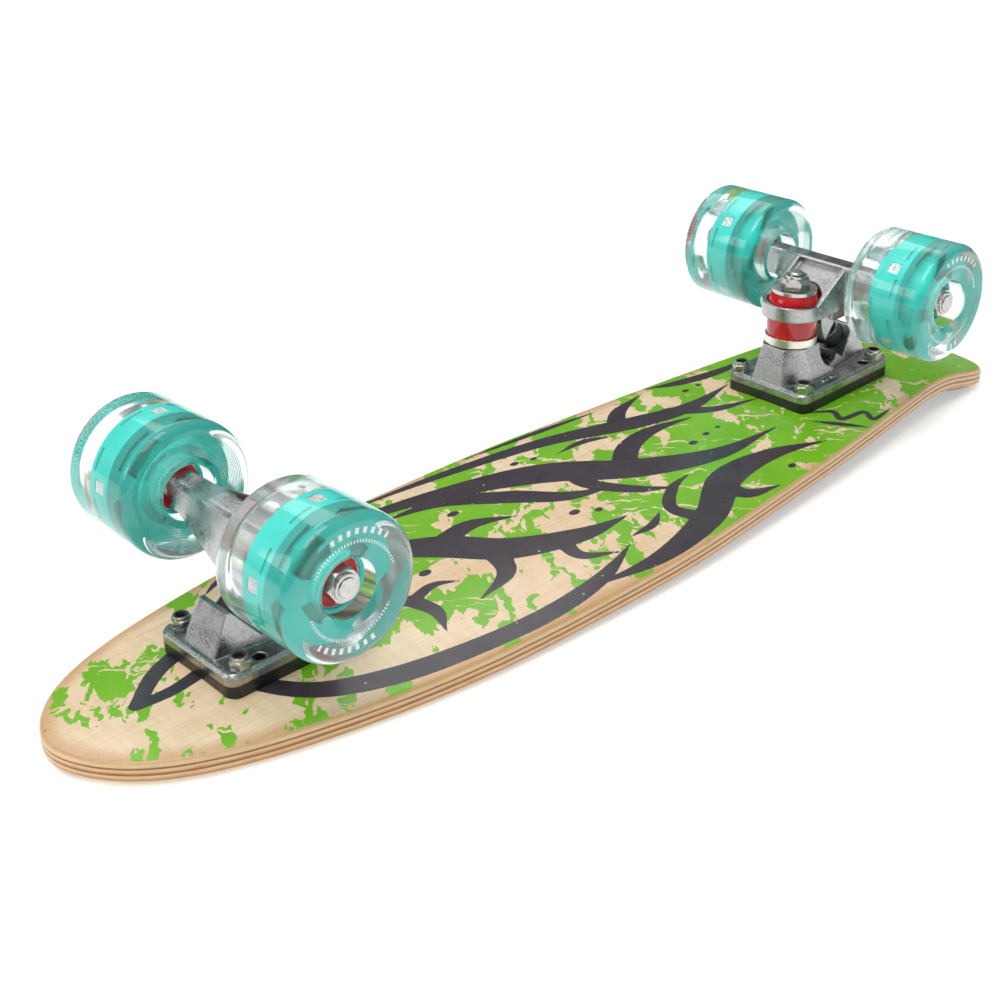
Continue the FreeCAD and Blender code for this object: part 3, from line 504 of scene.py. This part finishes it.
def deck_material():
    s = Shade("printed_maple")
    along = s.split()[0]
    # maple veneer: long fine grain, slow colour drift and a light figure across the grain
    grain = s.noise(60, 6, 0.65, stretch=(0.5, 14, 14), warp=0.35)
    drift = s.noise(9, 3, 0.5, stretch=(0.7, 3, 3))
    figure = s.noise(120, 2, 0.5, stretch=(2.2, 0.5, 1))
    maple = s.ramp(grain, (0.30, (0.74, 0.52, 0.30)), (0.52, (0.88, 0.67, 0.43)),
                   (0.75, (0.95, 0.76, 0.52)))
    tint = s.ramp(drift, (0.35, (0.76, 0.50, 0.27)), (0.65, (0.97, 0.80, 0.58)))
    maple = s.mix(0.35, maple, tint)
    maple = s.mix(0.10, maple, s.ramp(figure, (0.4, (0.6, 0.4, 0.24)), (0.6, (1.0, 0.88, 0.7))))
    gap = s.attribute("inset")
    # the wood is browner along its rim
    warm = s.ramp(s.math("MULTIPLY", gap, 0.05), (0.0, 1.0), (0.12, 0.75), (0.5, 0.0), ease="EASE")
    maple = s.mix(s.math("MULTIPLY", warm, 0.75), maple, (0.56, 0.26, 0.075))
    # green print: ragged patches, dense at the tail and sparse at the nose
    turned = s.tree.nodes.new("ShaderNodeMapping")
    turned.inputs["Rotation"].default_value = (0, 0, math.radians(38))
    s.tree.links.new(s.coords, turned.inputs["Vector"])
    streaked = turned.outputs[0]
    ragged = s.noise(330, 3, 0.6)
    bent = s.tree.nodes.new("ShaderNodeVectorMath")
    bent.operation = "MULTIPLY_ADD"
    warp = s.tree.nodes.new("ShaderNodeTexNoise")
    warp.inputs["Scale"].default_value = 120
    s.tree.links.new(streaked, warp.inputs["Vector"])
    s.tree.links.new(warp.outputs["Color"], bent.inputs[0])
    bent.inputs[1].default_value = (0.012, 0.012, 0.0)
    s.tree.links.new(streaked, bent.inputs[2])
    body = s.noise(19, 2.0, 0.5, stretch=(1, 1, 0.2))
    blocks = s.cells(62, stretch=(1.7, 0.62, 0.01), coords=bent.outputs[0], output="Color")
    block = s.split(blocks)[0]
    chips = s.noise(120, 2.5, 0.6, stretch=(1.7, 0.7, 0.2), coords=streaked)
    cracks = s.noise(120, 2.5, 0.55, stretch=(0.3, 2.6, 0.2), coords=bent.outputs[0])
    field = s.math("MULTIPLY_ADD", body, 0.62, s.math("MULTIPLY", chips, 0.20))
    field = s.math("MULTIPLY_ADD", block, 0.18, field)
    field = s.math("MULTIPLY_ADD", ragged, 0.03, field)
    share = s.ramp(s.math("MULTIPLY_ADD", along, 1.75, 0.5), (0.0, 0.455), (0.16, 0.465),
                   (0.26, 0.475), (0.5, 0.515), (0.68, 0.55), (0.82, 0.60), (1.0, 0.62))
    over = s.math("SUBTRACT", s.math("ADD", field, share), 1.015)
    patch = s.math("MULTIPLY_ADD", over, 260.0, 0.5, clamp=True)
    gaps = s.math("MULTIPLY_ADD", s.math("SUBTRACT", cracks, 0.635), 150.0, 0.5, clamp=True)
    patch = s.math("MULTIPLY", patch, s.math("SUBTRACT", 1.0, gaps), clamp=True)
    green_tone = s.noise(45, 3, 0.5)
    green = s.ramp(green_tone, (0.3, (0.165, 0.470, 0.008)), (0.7, (0.205, 0.540, 0.015)))
    # dark print
    line = s.math("MULTIPLY_ADD", ragged, 0.5, s.attribute("print_gap"))
    dark = s.ramp(s.math("MULTIPLY_ADD", line, -2.0, 1.0, clamp=True), (0.35, 0.0), (0.65, 1.0))
    specks = s.ramp(s.cells(95), (0.05, 1.0), (0.065, 0.0))
    dark = s.math("SUBTRACT", dark, s.math("MULTIPLY", specks, 0.6), clamp=True)
    charcoal = s.ramp(s.noise(80, 4, 0.5), (0.3, (0.036, 0.028, 0.038)),
                      (0.7, (0.052, 0.042, 0.052)))
    # both prints stop where the edge rounding starts
    flat_side = s.ramp(s.math("MULTIPLY", gap, 0.1), (0.12, 0.0), (0.2, 1.0))
    flat_side = s.math("MULTIPLY", flat_side, s.ramp(s.attribute("ply"), (0.04, 1.0), (0.08, 0.0)))
    top = s.mix(s.math("MULTIPLY", patch, flat_side), maple, green)
    top = s.mix(s.math("MULTIPLY", dark, flat_side), top, charcoal)
    # plies seen on the edge
    wave = s.noise(40, 2, 0.5, stretch=(1, 1, 0.1))
    level = s.math("MULTIPLY_ADD", s.math("SUBTRACT", wave, 0.5), 0.035, s.attribute("ply"))
    pale, tan, brown = (0.80, 0.60, 0.38), (0.60, 0.37, 0.17), (0.30, 0.13, 0.045)
    plies = s.ramp(level, (0.0, tan), (0.10, pale), (0.20, pale), (0.235, brown), (0.30, brown),
                   (0.34, pale), (0.47, tan), (0.50, brown), (0.58, brown), (0.62, pale),
                   (0.76, tan), (0.80, brown), (0.85, tan), (1.0, pale))
    fibre = s.noise(400, 4, 0.6, stretch=(0.3, 0.3, 3))
    fibre = s.ramp(fibre, (0.3, (0.35, 0.2, 0.1)), (0.7, (0.95, 0.75, 0.5)))
    plies = s.mix(0.35, plies, fibre, "OVERLAY")
    side = s.ramp(s.attribute("ply"), (0.03, 0.0), (0.10, 1.0))
    colour = s.mix(side, top, plies)
    rough = s.ramp(s.noise(35, 5, 0.6), (0.3, 0.24), (0.7, 0.34))
    rough = s.mix(side, rough, (0.42, 0.42, 0.42))
    s.set(Base_Color=colour, Roughness=rough, Coat_Weight=0.22, Coat_Roughness=0.12,
          Specular_IOR_Level=0.35)
    ink = s.math("MAXIMUM", dark, patch)
    relief = s.math("MULTIPLY_ADD", ink, 0.4, s.math("MULTIPLY", grain, 0.35))
    s.set(Normal=s.bump(relief, 0.18, 0.0002))
    return s.mat


deck()


# ---------------------------------------------------------------- wheels

TYRE_BORE, TYRE_SHOULDER, TYRE_HALF_WIDTH = 11.35, 25.6, 22.65
TYRE_CORNER, TYRE_CORNER_STEPS = 4.4, 9
GROOVES, GROOVE_FIRST, GROOVE_PITCH, GROOVE_DEPTH = 13, 24.6, 0.75, 0.28
TYRE_STEPS, TYRE_CREASE = 160, 32


def turned(name, profile, spot, material, steps, crease, scale=MM):
    """A closed mesh turned from (radius, height) points; spot places each one at an angle."""
    n = len(profile)
    angles = [2 * math.pi * k / steps for k in range(steps)]
    verts = [spot(radius, height, angle) for angle in angles for radius, height in profile]
    faces = []
    for k in range(steps):
        a, b = k * n, ((k + 1) % steps) * n
        faces += [(a + i, a + (i + 1) % n, b + (i + 1) % n, b + i) for i in range(n)]
    item = new_mesh(name, verts, faces, scale)
    work = bmesh.new()
    work.from_mesh(item.data)
    bmesh.ops.recalc_face_normals(work, faces=work.faces)
    for edge in work.edges:
        edge.smooth = edge.calc_face_angle(0) < math.radians(crease)
    work.to_mesh(item.data)
    work.free()
    item.data.materials.append(material)
    return item


def corner_arc(radius, along, start, end):
    """The tyre's rounded shoulder, from one angle to another in degrees."""
    turns = [math.radians(start + (end - start) * k / TYRE_CORNER_STEPS)
             for k in range(TYRE_CORNER_STEPS + 1)]
    return [(radius + TYRE_CORNER * math.cos(turn), along + TYRE_CORNER * math.sin(turn))
            for turn in turns]


def tyre(end, side, material):
    """Clear urethane: radius against distance along the axle, outboard being negative here."""
    wide = TYRE_HALF_WIDTH
    profile = [(TYRE_BORE, -13.0), (12.0, -13.2), (12.2, -20.3), (13.0, -20.9), (15.2, -22.1)]
    profile += [(16.4, -22.35), (25.4, -wide)]
    profile += corner_arc(TYRE_SHOULDER, -wide + TYRE_CORNER, -90, 0)
    profile += corner_arc(TYRE_SHOULDER, wide - TYRE_CORNER, 0, 90)
    floor_of_groove = wide - GROOVE_DEPTH
    for k in range(GROOVES):
        r = GROOVE_FIRST - GROOVE_PITCH * k
        profile += [(r, wide), (r - 0.16, floor_of_groove), (r - 0.40, floor_of_groove),
                    (r - 0.56, wide)]
    profile += [(12.6, wide), (12.0, wide - 0.6), (12.0, 13.2), (TYRE_BORE, 13.0)]

    def spot(radius, height, angle):
        return (radius * math.sin(angle), height, radius * math.cos(angle))

    item = turned("_".join((end, side, "wheel_tyre")), profile, spot, material, TYRE_STEPS,
                  TYRE_CREASE)
    item.location = WHEELS[end, side]
    if side == "right":
        item.rotation_euler = (0, 0, math.pi)
    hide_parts("_".join((end, side, "tyre")))
    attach(item, "_".join((end, side, "wheel")))


def tyre_material():
    s = Shade("clear_urethane")
    x, y, z = s.split()
    radius = s.math("SQRT", s.math("ADD", s.math("MULTIPLY", x, x), s.math("MULTIPLY", z, z)))
    angle = s.math("ARCTAN2", z, x)
    outboard = s.ramp(s.math("MULTIPLY", y, -1000 / 50), (0.43, 0.0), (0.435, 1.0))

    def band(low, high):
        return s.math("MULTIPLY", s.math("GREATER_THAN", radius, low * MM),
                      s.math("LESS_THAN", radius, high * MM))

    def dashes(count, share, shift=0.0):
        turn = s.math("FRACT", s.math("MULTIPLY_ADD", angle, count / (2 * math.pi), shift))
        return s.math("LESS_THAN", turn, share)

    def sector(low, high):
        turn = s.math("FRACT", s.math("MULTIPLY_ADD", angle, 1 / (2 * math.pi), 0.5))
        return s.math("MULTIPLY", s.math("GREATER_THAN", turn, low),
                      s.math("LESS_THAN", turn, high))

    # plain white ticks and bars on the outer face
    ticks = s.math("MULTIPLY", s.math("MULTIPLY", band(18.6, 19.9), dashes(88, 0.42)),
                   s.math("ADD", sector(0.03, 0.40), sector(0.53, 0.90), clamp=True))
    bars = s.math("MULTIPLY", s.math("MULTIPLY", band(22.2, 24.6), dashes(40, 0.45, 0.3)),
                  s.math("ADD", sector(0.12, 0.31), sector(0.62, 0.81), clamp=True))
    white = s.math("MULTIPLY", s.math("ADD", ticks, bars, clamp=True), outboard)
    worn = s.ramp(s.noise(900, 3, 0.6), (0.30, 0.75), (0.5, 1.0))
    white = s.math("MULTIPLY", white, worn)
    haze = s.noise(220, 5, 0.6)
    fine = s.noise(60, 4, 0.55)
    rough = s.ramp(haze, (0.35, 0.07), (0.7, 0.14))
    rough = s.mix(white, rough, (0.5, 0.5, 0.5))
    tint = s.ramp(fine, (0.3, (0.93, 0.985, 0.975)), (0.7, (0.97, 0.995, 0.99)))
    colour = s.mix(white, tint, (0.92, 0.96, 0.95))
    s.set(Base_Color=colour, Roughness=rough, IOR=1.5, Specular_IOR_Level=0.3,
          Transmission_Weight=s.math("MULTIPLY_ADD", white, -0.95, 0.95))
    s.set(Normal=s.bump(fine, 0.06, 0.0003))
    return s.lets_light_in((0.96, 0.995, 0.99)).mat


def core_material():
    s = Shade("teal_core_plastic")
    tone = s.noise(70, 4, 0.5)
    colour = s.ramp(tone, (0.3, (0.0, 0.60, 0.52)), (0.7, (0.0, 0.73, 0.63)))
    flow = s.noise(300, 3, 0.5, stretch=(1, 0.2, 1))
    rough = s.ramp(flow, (0.3, 0.28), (0.7, 0.42))
    normal, edge = s.rounded(0.0006)
    # painted highlight: the teal is paler on the edges
    colour = s.mix(s.math("MULTIPLY", edge, 0.35), colour, (0.06, 0.78, 0.68))
    return s.set(Base_Color=colour, Roughness=rough, Coat_Weight=0.1, Coat_Roughness=0.2,
                 Normal=s.bump(flow, 0.08, 0.0003, normal)).mat


# ---------------------------------------------------------------- metal, rubber, grip

PLASTIC_EDGE = 0.0005


def metal(name, dark, light, rough, grain, scale, edges, tint=(1, 1, 1), pits=0.0):
    """Bare metal with grain, smudges and smoother edges that carry a painted highlight."""
    s = Shade(name)
    smudge = s.noise(90, 5, 0.6)
    fine = s.noise(scale, 4, 0.7)
    normal, edge = s.rounded(edges)
    blotch = s.math("ADD", s.math("MULTIPLY", smudge, 0.5), s.math("MULTIPLY", fine, 0.5))
    shade = s.ramp(blotch, (0.34, tuple(dark * t for t in tint)),
                   (0.64, tuple(light * t for t in tint)))
    # painted highlight: the colour is lighter along the edges
    painted_metal_highlight = tuple(min(1.0, light * 1.18 * t) for t in tint)
    colour = s.mix(s.math("MULTIPLY", edge, 0.85), shade, painted_metal_highlight)
    dull = s.ramp(smudge, (0.35, rough[0]), (0.65, rough[1]))
    dull = s.mix(edge, dull, (rough[0] * 0.7,) * 3)
    height = fine
    if pits:
        spots = s.ramp(s.cells(scale * 0.45), (0.0, 0.0), (0.32, 1.0))
        height = s.math("ADD", s.math("MULTIPLY", fine, 0.6), s.math("MULTIPLY", spots, pits))
    return s.set(Base_Color=colour, Metallic=1.0, Roughness=dull,
                 Normal=s.bump(height, grain, 0.0003, normal)).mat


def dull_plastic(name, dark, light, rough, bump, scale=300, coat=0.0):
    """Moulded rubber or plastic, with a painted highlight that makes it paler on its edges."""
    s = Shade(name)
    fine = s.noise(scale, 5, 0.65)
    broad = s.noise(60, 4, 0.5)
    normal, edge = s.rounded(PLASTIC_EDGE)
    colour = s.ramp(broad, (0.3, dark), (0.7, light))
    # painted highlight: the colour is paler on the edges
    painted_plastic_highlight = tuple(min(1.0, c * 1.5 + 0.01) for c in light)
    colour = s.mix(s.math("MULTIPLY", edge, 0.5), colour, painted_plastic_highlight)
    dull = s.ramp(fine, (0.3, rough[0]), (0.7, rough[1]))
    return s.set(Base_Color=colour, Roughness=dull, Coat_Weight=coat, Coat_Roughness=0.1,
                 Normal=s.bump(fine, bump, 0.0003, normal)).mat


def grip_material():
    s = Shade("grip_grit")
    grit = s.cells(1500)
    sparkle = s.noise(2500, 2, 0.5)
    colour = s.ramp(grit, (0.0, (0.045, 0.045, 0.048)), (0.6, (0.012, 0.012, 0.013)))
    rough = s.ramp(sparkle, (0.4, 0.95), (0.72, 0.35))
    height = s.math("ADD", s.math("MULTIPLY", grit, -0.7), sparkle)
    return s.set(Base_Color=colour, Roughness=rough, Normal=s.bump(height, 0.9, 0.0006)).mat


def red_urethane_material():
    s = Shade("red_urethane")
    cloud = s.noise(120, 4, 0.5)
    colour = s.ramp(cloud, (0.3, (0.80, 0.012, 0.018)), (0.7, (0.92, 0.026, 0.032)))
    rough = s.ramp(s.noise(400, 3, 0.6), (0.3, 0.10), (0.7, 0.2))
    return s.set(Base_Color=colour, Roughness=rough, IOR=1.5, Transmission_Weight=0.35,
                 Coat_Weight=0.3, Coat_Roughness=0.08,
                 Normal=s.bump(cloud, 0.05, 0.0003)).lets_light_in((0.85, 0.12, 0.10)).mat


def led_material():
    s = Shade("light_module")
    board = s.cells(900)
    parts = s.noise(700, 3, 0.5)
    colour = s.ramp(parts, (0.42, (0.55, 0.60, 0.60)), (0.5, (0.86, 0.90, 0.90)),
                    (0.62, (0.35, 0.42, 0.42)))
    colour = s.mix(s.ramp(board, (0.1, 0.8), (0.25, 0.0)), colour, (0.95, 0.97, 0.97))
    rough = s.ramp(parts, (0.3, 0.18), (0.7, 0.4))
    return s.set(Base_Color=colour, Metallic=0.55, Roughness=rough,
                 Normal=s.bump(board, 0.4, 0.0004)).mat


def finish_cad_nodes():
    cast = metal("cast_aluminium_bare", 0.28, 0.56, (0.20, 0.38), grain=0.5, scale=900, pits=0.5,
                 edges=0.0011)
    zinc = metal("zinc_plate", 0.40, 0.64, (0.14, 0.30), grain=0.12, scale=500,
                 tint=(1, 0.985, 0.93), edges=0.0005)
    cream = metal("zinc_washer", 0.62, 0.86, (0.22, 0.36), grain=0.10, scale=500,
                  tint=(1, 0.97, 0.88), edges=0.0005)
    steel = metal("bearing_steel_ground", 0.42, 0.66, (0.10, 0.22), grain=0.08, scale=600,
                  edges=0.0003)
    magnet = metal("nickel_spacer", 0.40, 0.62, (0.16, 0.3), grain=0.1, scale=500, edges=0.0004)
    rubber = dull_plastic("moulded_black_rubber", (0.010, 0.010, 0.011), (0.022, 0.022, 0.024),
                          (0.32, 0.5), bump=0.2, coat=0.15)
    shield = dull_plastic("red_seal", (0.52, 0.008, 0.014), (0.66, 0.018, 0.024), (0.28, 0.4),
                          bump=0.08, coat=0.3)
    core = core_material()
    led = led_material()
    grip = grip_material()
    # the first ending that a node's name has gives its material
    rules = (("grip_tape", grip), ("riser_pad", rubber), ("pivot_cup", rubber),
             ("baseplate", cast), ("hanger", cast), ("lower_cup_washer", cream),
             ("axle_washers", zinc), ("upper_cup_washer", zinc), ("mounting_bolts", zinc),
             ("nuts", zinc), ("kingpin_nut", zinc), ("kingpin", zinc), ("shields", shield),
             ("races", steel), ("balls", steel), ("spacers", magnet), ("led_modules", led),
             ("core", core), ("axle", zinc))
    for name, item in nodes.items():
        for ending, material in rules:
            if name.endswith(ending):
                if not item.data.materials:
                    item.data.materials.append(material)
                for place in item.material_slots:
                    place.material = material
                break


finish_cad_nodes()
clear = tyre_material()
for tyre_end in ENDS:
    for tyre_side in SIDES:
        tyre(tyre_end, tyre_side, clear)


# ---------------------------------------------------------------- soft parts of the trucks

KINGPIN_FOOT, KINGPIN_LEAN = Vector((-28.6, 0, 28.5)) * MM, math.radians(2.5)
PIVOT_FOOT, PIVOT_LEAN = Vector((7, 0, 20.2)) * MM, math.radians(37.9 - 90)
NUT_ROWS, NUT_GAUGE, NUT_TOP = (-42.5, 17.5), 20.65, 15.0
BUSHING_BORE, BARREL_LIP, BARREL_STEPS = 5.6, 0.7, 12
RING_CREASE = 40


def truck_frame(end):
    """The truck's own frame: under its axle on the deck, X away from the kingpin."""
    turn = Matrix.Rotation(math.pi if end == "nose" else 0.0, 4, "Z")
    return Matrix.Translation(Vector((AXLES[end].x, 0, FLAT))) @ turn


def axis_frame(end, foot, lean):
    return truck_frame(end) @ Matrix.Translation(foot) @ Matrix.Rotation(lean, 4, "Y")


def ring_piece(name, profile, place, material, steps=96):
    """A closed ring turned around place's Z from (radius, height) points in mm."""

    def spot(radius, height, angle):
        across = Vector((radius * math.cos(angle), radius * math.sin(angle), height))
        return place @ (across * MM)

    return turned(name, profile, spot, material, steps, RING_CREASE, scale=1.0)


def barrel(low, high, foot_radius, top_radius, swell):
    """A barrel with rounded lips from low to high along the kingpin."""
    side = []
    for k in range(BARREL_STEPS + 1):
        t = k / BARREL_STEPS
        pull = min(t, 1 - t) * (high - low)
        trim = BARREL_LIP * max(0.0, 1 - pull / BARREL_LIP) ** 2
        radius = foot_radius + (top_radius - foot_radius) * t + swell * math.sin(math.pi * t)
        side.append((radius - trim, low + (high - low) * t))
    return [(BUSHING_BORE, low)] + side + [(BUSHING_BORE, high)]


def bushing(end, word, profile, fixed, moved, material):
    """A bushing turned around the kingpin and baked in place; the points at the heights fixed and
    moved are worked out but not used.
    """
    place = axis_frame(end, KINGPIN_FOOT, KINGPIN_LEAN)
    item = ring_piece("_".join((end, word, "bushing_soft")), profile, place, material)
    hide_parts("_".join((end, word, "bushing")))
    start, stop = (tuple(place @ Vector((0, 0, h * MM))) for h in (fixed, moved))
    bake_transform(item)
    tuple(start)
    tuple(stop)


def pivot_boot(end, material):
    """The rubber cup around the hanger's pivot, with its lip rounded over the baseplate."""
    profile = [(4.9, -3.5), (7.1, -5.0), (7.15, 5.0), (7.5, 7.6), (8.0, 9.6), (8.1, 11.2),
               (7.6, 12.6), (6.6, 13.4), (5.6, 13.3), (5.0, 12.5), (4.9, 11.0)]
    item = ring_piece(end + "_pivot_boot", profile, axis_frame(end, PIVOT_FOOT, PIVOT_LEAN), material)
    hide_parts(end + "_pivot_cup")
    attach(item, "board")


def nut_inserts(end, material):
    """The black nylon ring that shows in the top of each lock nut."""
    profile = [(1.95, NUT_TOP - 1.4), (1.95, NUT_TOP - 0.1), (2.2, NUT_TOP + 0.12),
               (2.75, NUT_TOP + 0.12), (3.0, NUT_TOP - 0.15), (3.0, NUT_TOP - 1.4)]
    for row, along in enumerate(NUT_ROWS):
        for side, way in (("left", -1), ("right", 1)):
            place = truck_frame(end) @ Matrix.Translation(Vector((along, way * NUT_GAUGE, 0)) * MM)
            name = "_".join((end, "nut_insert", str(row), side))
            item = ring_piece(name, profile, place, material, steps=40)
            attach(item, "board")


red = red_urethane_material()
boot = dull_plastic("glossy_rubber", (0.008, 0.008, 0.009), (0.016, 0.016, 0.018), (0.16, 0.3),
                    bump=0.06, coat=0.4)
nylon = dull_plastic("nylon_insert", (0.012, 0.012, 0.014), (0.026, 0.026, 0.03), (0.3, 0.45),
                     scale=900, bump=0.1)
for truck_end in ENDS:
    bushing(truck_end, "lower", barrel(1.5, 17.4, 12.3, 12.5, 0.6), 4.2, 15.0, red)
    bushing(truck_end, "upper", barrel(20.1, 28.1, 13.2, 10.3, 0.9), 27.0, 21.5, red)
    pivot_boot(truck_end, boot)
    nut_inserts(truck_end, nylon)
